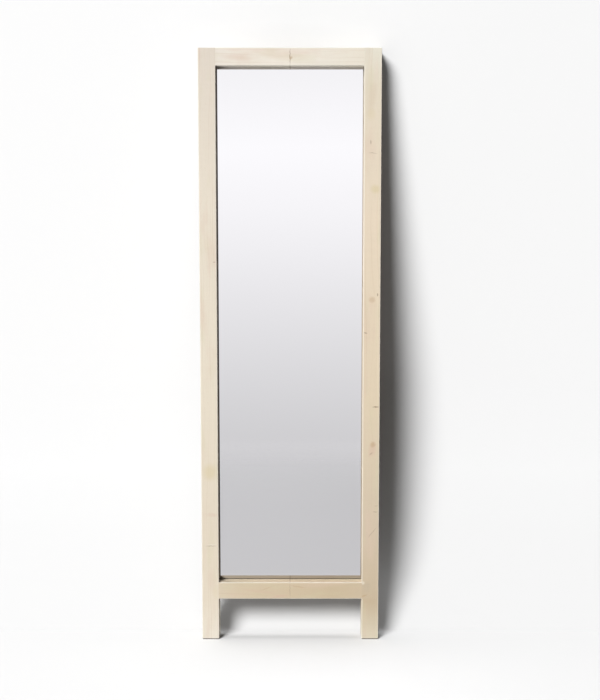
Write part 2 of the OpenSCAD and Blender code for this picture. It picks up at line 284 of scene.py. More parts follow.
def linear(red, green, blue):
    """A display colour out of 255 as the scene-linear one."""
    return tuple((c / 255 / 12.92) if c <= 10 else ((c / 255 + 0.055) / 1.055) ** 2.4 for c in (red, green, blue))


def maple(context, name, grain, seed, tones, marks=(), edges=()):
    """Clear-sealed pale maple. grain is the long axis, tones are display colours along it, and marks are
    local features: (kind, centre, radii, turn, strength)."""
    tints = context.scene.mirror_finishes
    wood = Finish(name, IOR=1.45, Specular_IOR_Level=0.0)
    here = wood.place()
    along = {"X": 0, "Z": 2}[grain]

    def stretched(across, lengthwise, shift):
        scale = [across] * 3
        scale[along] = lengthwise
        return wood.moved(here, scale=tuple(scale), location=(seed * 3.7 + shift, seed * 1.3, seed * 2.1 - shift))

    low, high = (-SIGHT_X, SIGHT_X) if grain == "X" else (0.0, BAR_HIGH.z)
    axis = wood.split(here)[along]
    stops = [(place, linear(*colour)) for place, colour in tones]
    base = wood.node("ShaderNodeValToRGB", {"stops": stops}, {"Fac": (axis - low) / (high - low)}, "Color")
    exposure = 1 / 1.035
    base = wood.blend(1.0, base, (exposure,) * 3, "MULTIPLY")

    # broad heartwood and mineral patches
    patches = wood.noise(stretched(26, 7, 0), detail=3, roughness=0.55)
    base = wood.blend(patches.ramped(0.50, 0.72) * 0.34, base, tuple(tints.pink))
    mineral = wood.noise(stretched(34, 9, 5), detail=2, roughness=0.5)
    base = wood.blend(mineral.ramped(0.52, 0.70) * 0.22, base, tuple(tints.green))

    # growth lines: rings about a pith behind the bar, wandering along it
    wander = wood.noise(stretched(9, 2.2, 9), detail=2)
    x, y, z = wood.split(here)
    side = (z if grain == "X" else x) + 0.031 * math.cos(seed * 2.0)
    reach = ((side + (wander - 0.5) * 0.05) ** 2 + (y + 0.075 + (wander - 0.5) * 0.03) ** 2) ** 0.5
    rings = wood.noise(wood.node("ShaderNodeCombineXYZ", None, {0: reach * 260.0, 1: axis * 1.4, 2: seed}), detail=2)
    line = rings.ramped(0.55, 0.74)
    base = wood.blend(line * 0.16, base, tuple(tints.latewood))

    # fibres, ray flecks and a faint curl across the grain
    fibre = wood.noise(stretched(900, 16, 2), detail=3, roughness=0.6)
    fleck = wood.noise(stretched(1500, 190, 3), detail=1).ramped(0.66, 0.76)
    curl = wood.noise(stretched(22, 110, 7), detail=2)
    tone = 0.955 + fibre * 0.06 + curl * 0.035
    base = wood.blend(1.0, base, wood.node("ShaderNodeCombineColor", None, {0: tone, 1: tone, 2: tone}), "MULTIPLY")
    base = wood.blend(fleck * 0.22, base, tuple(tints.latewood))

    # local marks, their outlines broken up by a small wobble
    wobble = wood.node("ShaderNodeTexNoise", {}, {"Vector": here, "Scale": 160.0, "Detail": 2.0}, "Color")
    shift = wood.node("ShaderNodeVectorMath", {"operation": "MULTIPLY_ADD"},
                      {0: wobble, 1: (0.004, 0.004, 0.004), 2: (-0.002, -0.002, -0.002)})
    loose = wood.node("ShaderNodeVectorMath", {"operation": "ADD"}, {0: here, 1: shift})
    dent = None
    for kind, centre, radii, turn, strength in marks:
        mark = wood.spot(loose, centre, radii, turn)
        colour = {"knot": tuple(tints.knot), "warm": (0.50, 0.33, 0.17), "yellow": (0.66, 0.55, 0.27),
                  "pink": (0.68, 0.48, 0.38), "cross": (0.30, 0.20, 0.12), "pale": (0.86, 0.80, 0.70),
                  "grey": (0.40, 0.37, 0.32)}[kind]
        base = wood.blend((mark * 1.6).clipped() * strength, base, colour)
        if kind in ("knot", "cross"):
            dent = mark if dent is None else dent + mark
    # edges: paler bands along the eased edges, partly the sanded wood's own tone and partly a painted highlight
    for centre, radii, start, end in edges:
        worn_and_lit_edge = wood.spot(here, centre, radii) * (axis > start) * (axis < end)
        base = wood.blend(worn_and_lit_edge.ramped(0.0, 0.9) * 0.7, base, (0.92, 0.88, 0.79))

    height = fibre * 0.5 + rings * 0.3 + fleck * -0.6
    if dent is not None:
        height = height - dent * 1.2
    wood.set(Base_Color=base, Roughness=0.56 + fibre * 0.14 + line * -0.06, Normal=wood.bump(height, 0.25, 0.15 * MM))
    return wood


# ---------- modelling ----------


def alone(obj=None):
    """Deselects everything, then selects obj."""
    if bpy.context.object and bpy.context.object.mode != "OBJECT":
        bpy.ops.object.mode_set(mode="OBJECT")
    bpy.ops.object.select_all(action="DESELECT")
    if obj:
        obj.select_set(True)
        bpy.context.view_layer.objects.active = obj


def settle(name):
    """Names the new active object and puts its place into its mesh."""
    obj = bpy.context.object
    obj.name = obj.data.name = name
    bpy.ops.object.transform_apply(location=True, rotation=True, scale=True)
    return obj


def block(name, low, high):
    alone()
    low, high = Vector(low), Vector(high)
    bpy.ops.mesh.primitive_cube_add(size=1, location=(low + high) / 2, scale=high - low)
    return settle(name)


def rod(name, start, end, diameter, sides=24):
    """A cylinder between two points."""
    alone()
    start, end = Vector(start), Vector(end)
    turn = (end - start).to_track_quat("Z", "Y").to_euler()
    bpy.ops.mesh.primitive_cylinder_add(
        vertices=sides, radius=diameter / 2, depth=(end - start).length, location=(start + end) / 2, rotation=turn)
    return settle(name)


def editing(obj):
    alone(obj)
    bpy.ops.object.mode_set(mode="EDIT")
    bpy.ops.mesh.select_all(action="DESELECT")


def pick(obj, kind, test):
    """In edit mode, selects only the edges or faces that pass a test."""
    bpy.ops.mesh.select_mode(type=kind)
    bpy.ops.mesh.select_all(action="DESELECT")
    mesh = bmesh.from_edit_mesh(obj.data)
    for item in mesh.edges if kind == "EDGE" else mesh.faces:
        if test(item):
            item.select_set(True)
    bmesh.update_edit_mesh(obj.data)


def middle(edge):
    return (edge.verts[0].co + edge.verts[1].co) / 2


def runs_along(edge, axis):
    run = edge.verts[1].co - edge.verts[0].co
    return abs(run[axis]) > 0.99 * run.length


def near(a, b, room=1e-5):
    return abs(a - b) < room


def take_away(obj, cutter):
    """Cuts one solid out of another with a boolean modifier."""
    alone(obj)
    cut = obj.modifiers.new("cut", "BOOLEAN")
    cut.operation, cut.solver, cut.object = "DIFFERENCE", "EXACT", cutter
    bpy.ops.object.modifier_apply(modifier=cut.name)
    bpy.data.objects.remove(cutter)


def drill(obj, holes):
    """holes are (start, end, diameter)."""
    rods = [rod("drill", *hole) for hole in holes]
    alone(rods[0])
    for extra in rods[1:]:
        extra.select_set(True)
    bpy.ops.object.join()
    take_away(obj, bpy.context.object)


def mirrored(obj, name):
    """A copy with its own mesh, on the other side of the mirror's middle."""
    alone(obj)
    bpy.ops.object.duplicate(linked=False)
    twin = bpy.context.object
    twin.name = twin.data.name = name
    twin.scale.x = -1
    bpy.ops.object.transform_apply(location=False, rotation=False, scale=True)
    bpy.ops.object.mode_set(mode="EDIT")
    bpy.ops.mesh.select_all(action="SELECT")
    bpy.ops.mesh.normals_make_consistent(inside=False)
    bpy.ops.object.mode_set(mode="OBJECT")
    return twin


def smoothed(obj, angle=35):
    """Shades the rounds smooth and keeps the flats flat."""
    editing(obj)
    pick(obj, "FACE", lambda f: max(map(abs, f.normal)) > 0.9999 and f.calc_area() > 1e-4)
    if obj.data.total_face_sel:
        bpy.ops.mesh.region_to_loop()
        bpy.ops.mesh.mark_sharp()
    alone(obj)
    bpy.ops.object.shade_smooth_by_angle(angle=math.radians(angle), keep_sharp_edges=True)
    weigh = obj.modifiers.new("flats", "WEIGHTED_NORMAL")
    weigh.keep_sharp = True
    bpy.ops.object.modifier_apply(modifier=weigh.name)


def put_in_place(obj, body, node):
    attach(obj, body)
    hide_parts(node)


def rebate_boxes(z_low, z_high, x_low, x_high, glass_out, panel_out, inner):
    """Makes no cutters: its body is empty and it returns nothing. inner is not used."""


def screw_heights():
    """Heights of the panel screws up each side."""
    count, inset = 6, 60 * MM
    return [SIGHT_LOW + inset + i * (SIGHT_HIGH - SIGHT_LOW - 2 * inset) / (count - 1) for i in range(count)]


def dowel_holes(side, z):
    """Both dowel holes that cross one joint."""
    reach, y = 31 * MM, (BAR_LOW.y + LEDGE_Y) / 2
    across = bpy.context.scene.mirror_bars.dowel_hole
    return [((side * (SIGHT_X - reach), y, z + s * 12 * MM), (side * (SIGHT_X + reach), y, z + s * 12 * MM), across)
            for s in (-1, 1)]


def make_stile(bars):
    """The right stile: a square bar with eased edges, rebated from the back and drilled."""
    r = bars.edge_radius
    stile = block("maple_right_stile", BAR_LOW, BAR_HIGH)
    editing(stile)
    for z in (LEG_TOP - r, SIGHT_LOW + r, SIGHT_HIGH - r):
        bpy.ops.mesh.select_all(action="SELECT")
        bpy.ops.mesh.bisect(plane_co=(0, 0, z), plane_no=(0, 0, 1))
    x0, x1, y0, y1 = BAR_LOW.x, BAR_HIGH.x, BAR_LOW.y, BAR_HIGH.y

    def eased(edge):
        m = middle(edge)
        if runs_along(edge, 2):
            if near(m.x, x1):
                return True
            in_sight = SIGHT_LOW < m.z < SIGHT_HIGH
            return m.z < LEG_TOP or (in_sight and near(m.y, y0))
        on_foot, on_top = near(m.z, BAR_LOW.z), near(m.z, BAR_HIGH.z)
        return on_foot or (on_top and not (near(m.x, x0) and runs_along(edge, 1)))

    pick(stile, "EDGE", eased)
    bpy.ops.mesh.bevel(offset=r, segments=4, profile=0.5, affect="EDGES", clamp_overlap=False)
    alone()
    glass_out = SPACER_HIGH.x - SIGHT_X
    panel_out = PANEL_HIGH.x - SIGHT_X + bars.panel_gap
    for out, y in ((glass_out, LEDGE_Y), (panel_out, PANEL_LOW.y)):
        take_away(stile, block("rebate", (x0 - 0.01, y, SIGHT_LOW - out), (x0 + out, y1 + 0.01, SIGHT_HIGH + out)))
    ledge_x = x0 + (glass_out + panel_out) / 2
    deep = 11 * MM
    holes = [((ledge_x, PANEL_LOW.y - deep, z), (ledge_x, PANEL_LOW.y + 0.002, z), bars.screw_hole)
             for z in screw_heights()]
    for z in (PIVOT.z - 24 * MM, PIVOT.z - 39 * MM):
        holes.append(((PIVOT.x, y1 - 15.8 * MM, z), (PIVOT.x, y1 + 0.002, z), bars.screw_hole))
    middle_of = (BUMPER_LOW + BUMPER_HIGH) / 2
    holes.append(((middle_of.x, y1 - 17 * MM, middle_of.z), (middle_of.x, y1 + 0.002, middle_of.z), 4.1 * MM))
    for z in ((LEG_TOP + SIGHT_LOW) / 2, (SIGHT_HIGH + BAR_HIGH.z) / 2):
        holes += dowel_holes(1, z)
    drill(stile, holes)
    return stile


def make_rail(bars, name, low_z, high_z, up):
    """A rail between the stiles. up is 1 where the opening is above it and -1 where it is below."""
    r = bars.edge_radius
    rail = block(name, (-SIGHT_X, BAR_LOW.y, low_z), (SIGHT_X, BAR_HIGH.y, high_z))
    y0, y1 = BAR_LOW.y, BAR_HIGH.y
    inner_z, outer_z = (high_z, low_z) if up > 0 else (low_z, high_z)
    editing(rail)

    def eased(edge):
        m = middle(edge)
        return runs_along(edge, 0) and (near(m.z, outer_z) or near(m.y, y0))

    pick(rail, "EDGE", eased)
    bpy.ops.mesh.bevel(offset=r, segments=4, profile=0.5, affect="EDGES", clamp_overlap=False)
    pick(rail, "FACE", lambda f: abs(f.normal.x) > 0.99)
    bpy.ops.mesh.region_to_loop()
    bpy.ops.mesh.bevel(offset=bars.joint_ease, segments=1, affect="EDGES", clamp_overlap=True)
    alone()
    glass_out = SPACER_HIGH.x - SIGHT_X
    panel_out = PANEL_HIGH.x - SIGHT_X + bars.panel_gap
    for out, y in ((glass_out, LEDGE_Y), (panel_out, PANEL_LOW.y)):
        z_a, z_b = sorted((inner_z - up * out, inner_z + up * 0.01))
        take_away(rail, block("rebate", (-SIGHT_X - 0.01, y, z_a), (SIGHT_X + 0.01, y1 + 0.01, z_b)))
    z = inner_z - up * (glass_out + panel_out) / 2
    end = SIGHT_X - 50 * MM
    holes = [((x, PANEL_LOW.y - 11 * MM, z), (x, PANEL_LOW.y + 0.002, z), bars.screw_hole) for x in (-end, 0, end)]
    mid = (low_z + high_z) / 2
    holes += dowel_holes(1, mid) + dowel_holes(-1, mid)
    drill(rail, holes)
    return rail


FRONT = BAR_LOW.y
ALL_ALONG = 60.0


def stile_worn_lit_edges(side):
    """The sanded corners down a stile's face, painted paler: partly the sanded wood's own tone, partly a painted
    highlight on the eased edge.
    """
    outer, inner = side * BAR_HIGH.x, side * SIGHT_X
    worn_and_lit_edge = (3.4 * MM, 3.4 * MM, ALL_ALONG)
    return [((outer, FRONT, 0.8), worn_and_lit_edge, 0.0, BAR_HIGH.z), ((inner, FRONT, 0.8), worn_and_lit_edge, SIGHT_LOW, SIGHT_HIGH),
            ((inner, FRONT, 0.8), worn_and_lit_edge, 0.0, LEG_TOP)]


LEFT_TONES = [(0.0, (244, 235, 220)), (0.07, (237, 225, 206)), (0.2, (234, 222, 203)), (0.45, (238, 228, 210)),
              (0.75, (238, 228, 212)), (1.0, (231, 221, 208))]
RIGHT_TONES = [(0.0, (227, 217, 194)), (0.06, (208, 190, 163)), (0.2, (217, 201, 178)),
               (0.42, (230, 214, 188)), (0.72, (237, 221, 199)), (0.94, (232, 221, 202)),
               (1.0, (236, 231, 216))]
TOP_TONES = [(0.0, (241, 233, 222)), (0.4, (244, 236, 224)), (0.75, (241, 234, 221)), (1.0, (239, 231, 216))]
BOTTOM_TONES = [(0.0, (225, 210, 187)), (0.15, (220, 204, 177)), (0.5, (216, 198, 170)),
                (0.8, (210, 192, 163)), (1.0, (213, 195, 168))]

# kind, (x, y, z), radii, turn about the front-to-back axis, strength
LEFT_MARKS = [
    ("cross", (-0.2120, FRONT, 1.0880), (0.0060, 0.010, 0.0018), 0.10, 0.45),
    ("yellow", (-0.2290, FRONT, 0.4900), (0.0250, 0.012, 0.0300), 0.0, 0.34),
    ("pink", (-0.2240, FRONT, 0.3661), (0.0200, 0.012, 0.0075), 0.05, 0.26),
    ("cross", (-0.2275, FRONT, 0.2755), (0.0190, 0.010, 0.0014), 0.0, 0.55),
    ("pale", (-0.2275, FRONT, 0.2790), (0.0190, 0.010, 0.0020), 0.0, 0.60),
    ("pink", (-0.2260, FRONT, 0.1750), (0.0170, 0.012, 0.0420), 0.0, 0.16),
    ("yellow", (-0.2160, FRONT, 0.1400), (0.0110, 0.012, 0.0240), 0.0, 0.14),
]
RIGHT_MARKS = [
    ("warm", (0.2267, FRONT, 1.5400), (0.0140, 0.012, 0.0550), 0.15, 0.12),
    ("yellow", (0.2250, FRONT, 1.4950), (0.0160, 0.012, 0.0200), 0.0, 0.16),
    ("cross", (0.2247, FRONT, 1.4197), (0.0024, 0.010, 0.0085), 0.0, 0.45),
    ("cross", (0.2300, FRONT, 1.3896), (0.0140, 0.010, 0.0017), 0.1, 0.40),
    ("yellow", (0.2380, FRONT, 1.2900), (0.0170, 0.012, 0.0150), 0.25, 0.36),
    ("cross", (0.2460, FRONT, 0.9960), (0.0022, 0.010, 0.0060), 0.0, 0.60),
    ("warm", (0.2305, FRONT, 0.9820), (0.0120, 0.012, 0.0110), 0.4, 0.34),
    ("cross", (0.2125, FRONT, 0.8886), (0.0065, 0.010, 0.0020), 0.2, 0.55),
    ("cross", (0.2425, FRONT, 0.6781), (0.0115, 0.010, 0.0019), 0.0, 0.95),
    ("pink", (0.2335, FRONT, 0.5560), (0.0130, 0.012, 0.0280), 0.2, 0.42),
    ("warm", (0.2350, FRONT, 0.5700), (0.0100, 0.014, 0.0110), 0.3, 0.46),
    ("cross", (0.2300, FRONT, 0.5440), (0.0070, 0.012, 0.0030), -0.7, 0.30),
    ("cross", (0.2460, FRONT, 0.3924), (0.0065, 0.010, 0.0014), 0.0, 0.55),
    ("cross", (0.2430, FRONT, 0.3749), (0.0085, 0.010, 0.0014), 0.0, 0.50),
    ("cross", (0.2342, FRONT, 0.3135), (0.0260, 0.010, 0.0013), -0.87, 0.35),
    ("pale", (0.2093, FRONT, 0.1667), (0.0060, 0.010, 0.0060), 0.0, 0.60),
    ("warm", (0.2130, FRONT, 0.1290), (0.0110, 0.010, 0.0030), -0.3, 0.42),
    ("warm", (0.2300, FRONT, 0.1130), (0.0240, 0.012, 0.0100), 0.0, 0.10),
    ("grey", (0.2200, FRONT, 0.1550), (0.0160, 0.012, 0.0200), 0.0, 0.12),
]
TOP_MARKS = [
    ("cross", (0.0004, FRONT, 1.6510), (0.0016, 0.030, 0.0290), 0.0, 0.62),
    ("warm", (0.0030, FRONT, 1.6480), (0.0050, 0.010, 0.0060), 0.5, 0.50),
    ("cross", (0.0004, -0.005, 1.6275), (0.0016, 0.060, 0.0040), 0.0, 0.50),
    ("pink", (-0.1500, FRONT, 1.6500), (0.0500, 0.012, 0.0120), 0.1, 0.22),
]
BOTTOM_MARKS = [
    ("cross", (-0.0009, FRONT, 0.1440), (0.0016, 0.030, 0.0270), 0.0, 0.36),
    ("cross", (-0.0009, -0.005, 0.1685), (0.0022, 0.060, 0.0040), 0.0, 0.38),
    ("pink", (-0.0900, FRONT, 0.1420), (0.0600, 0.012, 0.0060), 0.12, 0.25),
    ("warm", (0.0220, FRONT, 0.1560), (0.0260, 0.012, 0.0030), 0.15, 0.32),
    ("pink", (-0.0300, FRONT, 0.1280), (0.0300, 0.012, 0.0050), -0.1, 0.40),
    ("warm", (-0.0700, FRONT, 0.1500), (0.0220, 0.012, 0.0022), -0.35, 0.25),
]


class MIRROR_OT_maple_frame(bpy.types.Operator):
    """Models the two stiles and two rails and gives each its own board of maple"""

    bl_idname = "mirror.maple_frame"
    bl_label = "Maple frame"

    def execute(self, context):
        bars = context.scene.mirror_bars
        right = make_stile(bars)
        left = mirrored(right, "maple_left_stile")
        top = make_rail(bars, "maple_top_rail", SIGHT_HIGH, BAR_HIGH.z, -1)
        bottom = make_rail(bars, "maple_bottom_rail", LEG_TOP, SIGHT_LOW, 1)
        # the rails' eased edges get the same paler bands: partly wear, partly a painted highlight
        rail_worn_lit_edge = lambda z: ((0, FRONT, z), (ALL_ALONG, 3.4 * MM, 3.4 * MM), -SIGHT_X, SIGHT_X)
        boards = [
            (left, "left_stile", "Z", 3.0, LEFT_TONES, LEFT_MARKS, stile_worn_lit_edges(-1)),
            (right, "right_stile", "Z", 7.0, RIGHT_TONES, RIGHT_MARKS, stile_worn_lit_edges(1)),
            (top, "top_rail", "X", 11.0, TOP_TONES, TOP_MARKS, [rail_worn_lit_edge(SIGHT_HIGH), rail_worn_lit_edge(BAR_HIGH.z)]),
            (bottom, "bottom_rail", "X", 17.0, BOTTOM_TONES, BOTTOM_MARKS, [rail_worn_lit_edge(SIGHT_LOW), rail_worn_lit_edge(LEG_TOP)]),
        ]
        for obj, node, grain, seed, tones, marks, edges in boards:
            smoothed(obj)
            maple(context, "maple_" + node, grain, seed, tones, marks, edges).paint(obj)
            put_in_place(obj, "frame", node)
        beech = Finish("turned_beech", Roughness=0.6)
        spot = beech.moved(beech.place(), scale=(40, 900, 900))
        fibre = beech.noise(spot, detail=3)
        beech.set(Base_Color=beech.blend(fibre, (0.62, 0.46, 0.31), (0.50, 0.34, 0.21)),
                  Normal=beech.bump(fibre, 0.2, 0.1 * MM))
        beech.paint(frame["nodes"]["top_rail_dowels"], frame["nodes"]["bottom_rail_dowels"])
        return {"FINISHED"}


class MIRROR_OT_glass_pack(bpy.types.Operator):
    """Finishes the silvered glass, its film, foam, tape, setting blocks and spacers"""

    bl_idname = "mirror.glass_pack"
    bl_label = "Glass pack"

    def execute(self, context):
        nodes = frame["nodes"]
        tints = context.scene.mirror_finishes
        glass = Finish("silvered_float_glass", IOR=1.52)
        here = glass.place()
        x, y, z = glass.split(here)
        half, rim = GLASS_HIGH.x, 0.7 * MM
        edge = (abs(x) > half - rim).most(abs(z - (GLASS_LOW.z + GLASS_HIGH.z) / 2) > (GLASS_HIGH.z - GLASS_LOW.z) / 2 - rim)
        back = y > GLASS_HIGH.y - 0.2 * MM
        dull = edge.most(back)
        haze = glass.noise(glass.moved(here, scale=(3, 3, 1.4)), detail=3)
        drawn = glass.noise(glass.moved(here, scale=(9, 9, 0.7)), detail=1)
        silver = glass.blend(haze * 0.25, tuple(tints.silver), (0.865, 0.88, 0.885))
        ground = glass.noise(here, scale=1400, detail=2)
        rim_tone = glass.blend(ground, (0.24, 0.36, 0.32), (0.36, 0.48, 0.43))
        painted = glass.blend(glass.noise(here, scale=60, detail=4), (0.20, 0.22, 0.24), (0.26, 0.28, 0.30))
        colour = glass.blend(edge, glass.blend(back, silver, painted), rim_tone)
        glass.set(Base_Color=colour, Metallic=1 - dull, Roughness=dull * 0.42 + (1 - dull) * (haze * 0.004),
                  Normal=glass.bump(drawn, 0.02, 0.02 * MM))
        glass.paint(nodes["mirror_glass"])

        film = Finish("safety_film", Roughness=0.55)
        weave = film.noise(film.moved(film.place(), scale=(500, 500, 500)), detail=2)
        film.set(Base_Color=film.blend(weave, (0.26, 0.29, 0.33), (0.33, 0.36, 0.40)), Normal=film.bump(weave, 0.15, 0.05 * MM))
        film.paint(nodes["safety_film"])

        foam = Finish("closed_cell_foam", Roughness=0.9)
        cell = foam.cells(foam.place(), scale=900)
        foam.set(Base_Color=foam.blend(cell, (0.82, 0.82, 0.80), (0.90, 0.90, 0.88)), Normal=foam.bump(cell, 0.4, 0.2 * MM))
        foam.paint(nodes["foam_sheet"])

        tape = Finish("dark_glazing_tape")
        crepe = tape.noise(tape.moved(tape.place(), scale=(700, 700, 700)), detail=3)
        tape.set(Base_Color=tape.blend(crepe, (0.022, 0.019, 0.016), (0.045, 0.038, 0.032)), Roughness=0.6 + crepe * 0.2,
                 Normal=tape.bump(crepe, 0.3, 0.1 * MM))
        tape.paint(*[nodes[side + "_glazing_tape"] for side in ("left", "right", "top", "bottom")])

        rubber = Finish("black_setting_rubber")
        grain = rubber.noise(rubber.place(), scale=1200, detail=3)
        rubber.set(Base_Color=rubber.blend(grain, (0.02, 0.02, 0.02), (0.05, 0.05, 0.05)), Roughness=0.6 + grain * 0.25,
                   Normal=rubber.bump(grain, 0.3, 0.1 * MM))
        rubber.paint(nodes["setting_blocks"], nodes["edge_spacers"])
        return {"FINISHED"}


class MIRROR_OT_back_panel(bpy.types.Operator):
    """Finishes the hardboard back panel and its yellow zinc screws"""

    bl_idname = "mirror.back_panel"
    bl_label = "Back panel"

    def execute(self, context):
        tints = context.scene.mirror_finishes
        board = Finish("brown_hardboard")
        here = board.place()
        pulp = board.noise(here, scale=260, detail=6, roughness=0.7)
        strand = board.noise(board.moved(here, scale=(420, 60, 900), rotation=(0, 0.6, 0)), detail=3)
        cloud = board.noise(here, scale=9, detail=4)
        tone = board.blend(pulp.ramped(0.3, 0.7), tuple(0.72 * c for c in tints.hardboard), tuple(tints.hardboard))
        tone = board.blend(strand.ramped(0.58, 0.72) * 0.55, tone, (0.46, 0.31, 0.18))
        tone = board.blend(cloud.ramped(0.4, 0.8) * 0.35, tone, (0.24, 0.14, 0.075))
        scuff = board.noise(board.moved(here, scale=(6, 6, 90), rotation=(0, 0.5, 0)), detail=2).ramped(0.68, 0.76)
        tone = board.blend(scuff * 0.25, tone, (0.52, 0.38, 0.25))
        board.set(Base_Color=tone, Roughness=0.48 + pulp * 0.25, Normal=board.bump(pulp + strand * 0.5, 0.35, 0.12 * MM))
        board.paint(frame["nodes"]["back_panel"])
        zinc = Finish("yellow_zinc_plate", Metallic=1.0)
        here = zinc.place()
        stain = zinc.noise(here, scale=420, detail=3)
        fine = zinc.noise(here, scale=2600, detail=2)
        tone = zinc.blend(stain.ramped(0.3, 0.7), (0.72, 0.56, 0.26), (0.66, 0.58, 0.36))
        tone = zinc.blend(stain.ramped(0.6, 0.75) * 0.5, tone, (0.62, 0.42, 0.34))
        zinc.set(Base_Color=tone, Roughness=0.26 + fine * 0.16, Normal=zinc.bump(fine, 0.2, 0.03 * MM))
        zinc.paint(frame["nodes"]["back_panel_screws"], frame["nodes"]["hanger_screws"])
        return {"FINISHED"}


class MIRROR_OT_hangers(bpy.types.Operator):
    """Finishes the hinged D-ring hangers and the bumper screws in bright zinc plate"""

    bl_idname = "mirror.hangers"
    bl_label = "D-ring hangers"

    def execute(self, context):
        steel = Finish("bright_zinc_plate", Metallic=1.0)
        here = steel.place()
        cloud = steel.noise(here, scale=300, detail=3)
        scratch = steel.noise(steel.moved(here, scale=(300, 300, 3200), rotation=(0, 0.4, 0)), detail=2)
        tone = steel.blend(cloud.ramped(0.3, 0.7), (0.60, 0.62, 0.64), (0.72, 0.73, 0.74))
        steel.set(Base_Color=tone, Roughness=0.20 + cloud * 0.14 + scratch.ramped(0.55, 0.75) * 0.12,
                  Normal=steel.bump(scratch, 0.12, 0.03 * MM))
        nodes = frame["nodes"]
        steel.paint(*[nodes[n] for n in ("left_hanger_strap", "right_hanger_strap", "left_hanger_ring",
                                         "right_hanger_ring", "bumper_screws")])
        return {"FINISHED"}


def rubber_finish(context, name):
    rubber = Finish(name)
    here = rubber.place()
    grain = rubber.noise(here, scale=1500, detail=3)
    dust = rubber.noise(here, scale=90, detail=3)
    dark = tuple(context.scene.mirror_finishes.rubber)
    tone = rubber.blend(dust.ramped(0.45, 0.75) * 0.4, dark, tuple(2.2 * c for c in dark))
    rubber.set(Base_Color=tone, Roughness=0.62 + grain * 0.2, Normal=rubber.bump(grain, 0.3, 0.08 * MM))
    return rubber


class MIRROR_OT_wall_bumpers(bpy.types.Operator):
    """Models the moulded rubber bumpers behind the top corners"""

    bl_idname = "mirror.wall_bumpers"
    bl_label = "Wall bumpers"

    def execute(self, context):
        low, high = BUMPER_LOW, BUMPER_HIGH
        mid = (low + high) / 2
        base_r, tip_r, collar = (high.x - low.x) / 2, 8 * MM, 2 * MM
        bumper = rod("rubber_right_wall_bumper", (mid.x, low.y, mid.z), (mid.x, low.y + collar, mid.z), 2 * base_r, 48)
        editing(bumper)
        centre = Vector((mid.x, 0, mid.z))

        def end_face(y):
            return lambda f: abs(f.normal.y) > 0.99 and near(f.calc_center_median().y, y) and len(f.verts) > 8

        def push(y_step, radius_from, radius_to):
            bpy.ops.mesh.extrude_region_move(TRANSFORM_OT_translate={"value": (0, y_step, 0)})
            k = radius_to / radius_from
            bpy.ops.transform.resize(value=(k, 1, k), center_override=centre + Vector((0, high.y, 0)))

        pick(bumper, "FACE", end_face(low.y + collar))
        push(high.y - low.y - collar, base_r, tip_r)
        bpy.ops.mesh.inset(thickness=tip_r - 4.5 * MM)
        push(-4 * MM, 1, 1)
        bpy.ops.mesh.inset(thickness=4.5 * MM - 2.05 * MM)
        push(low.y - (high.y - 4 * MM), 1, 1)
        bpy.ops.mesh.delete(type="FACE")
        pick(bumper, "FACE", end_face(low.y))
        bpy.ops.mesh.inset(thickness=base_r - 2.05 * MM)
        bpy.ops.mesh.delete(type="FACE")
        bpy.ops.mesh.select_all(action="SELECT")
        bpy.ops.mesh.remove_doubles(threshold=0.02 * MM)

        def rim(edge):
            m = middle(edge)
            r = (Vector((m.x, 0, m.z)) - centre).length
            level = near(edge.verts[0].co.y, edge.verts[1].co.y)
            return level and ((near(m.y, high.y) and r > 4 * MM) or (near(r, base_r, 0.1 * MM)))

        pick(bumper, "EDGE", rim)
        bpy.ops.mesh.bevel(offset=0.6 * MM, segments=3, profile=0.5, affect="EDGES", clamp_overlap=True)
        bpy.ops.mesh.select_all(action="SELECT")
        bpy.ops.mesh.normals_make_consistent(inside=False)
        alone()
        left = mirrored(bumper, "rubber_left_wall_bumper")
        rubber = rubber_finish(context, "moulded_grey_rubber")
        for obj, node in ((bumper, "right_wall_bumper"), (left, "left_wall_bumper")):
            smoothed(obj)
            rubber.paint(obj)
            put_in_place(obj, "frame", node)
        return {"FINISHED"}


class MIRROR_OT_foot_pads(bpy.types.Operator):
    """Models the rubber pad under each leg, with round corners and a grooved sole"""

    bl_idname = "mirror.foot_pads"
    bl_label = "Foot pads"

    def execute(self, context):
        pad = block("rubber_right_foot_pad", PAD_LOW, PAD_HIGH)
        mid = (PAD_LOW + PAD_HIGH) / 2
        half = (PAD_HIGH.x - PAD_LOW.x) / 2

        def on_side(edge):
            """True where both ends stand on the pad's round-cornered outline."""
            corner = half - 3 * MM
            for v in edge.verts:
                dx, dy = abs(v.co.x - mid.x), abs(v.co.y - mid.y)
                out = math.hypot(dx - corner, dy - corner) if dx > corner and dy > corner else max(dx, dy) - corner
                if not near(out, 3 * MM, 0.05 * MM):
                    return False
            return True

        editing(pad)
        pick(pad, "FACE", lambda f: f.normal.z < -0.99)
        bpy.ops.mesh.inset(thickness=5 * MM)
        for step in (0.7 * MM, -0.7 * MM, 0.7 * MM, -0.7 * MM):
            bpy.ops.mesh.inset(thickness=1.6 * MM)
            bpy.ops.mesh.extrude_region_move(TRANSFORM_OT_translate={"value": (0, 0, step)})
        pick(pad, "EDGE", lambda e: runs_along(e, 2) and abs(middle(e).x - mid.x) > half - MM)
        bpy.ops.mesh.bevel(offset=3 * MM, segments=5, profile=0.5, affect="EDGES")
        pick(pad, "EDGE", lambda e: not runs_along(e, 2) and on_side(e))
        bpy.ops.mesh.bevel(offset=0.35 * MM, segments=2, profile=0.5, affect="EDGES")
        alone()
        left = mirrored(pad, "rubber_left_foot_pad")
        rubber = rubber_finish(context, "foot_pad_rubber")
        for obj, node in ((pad, "right_foot_pad"), (left, "left_foot_pad")):
            smoothed(obj)
            rubber.paint(obj)
            put_in_place(obj, "frame", node)
        return {"FINISHED"}


# ---------- studio ----------


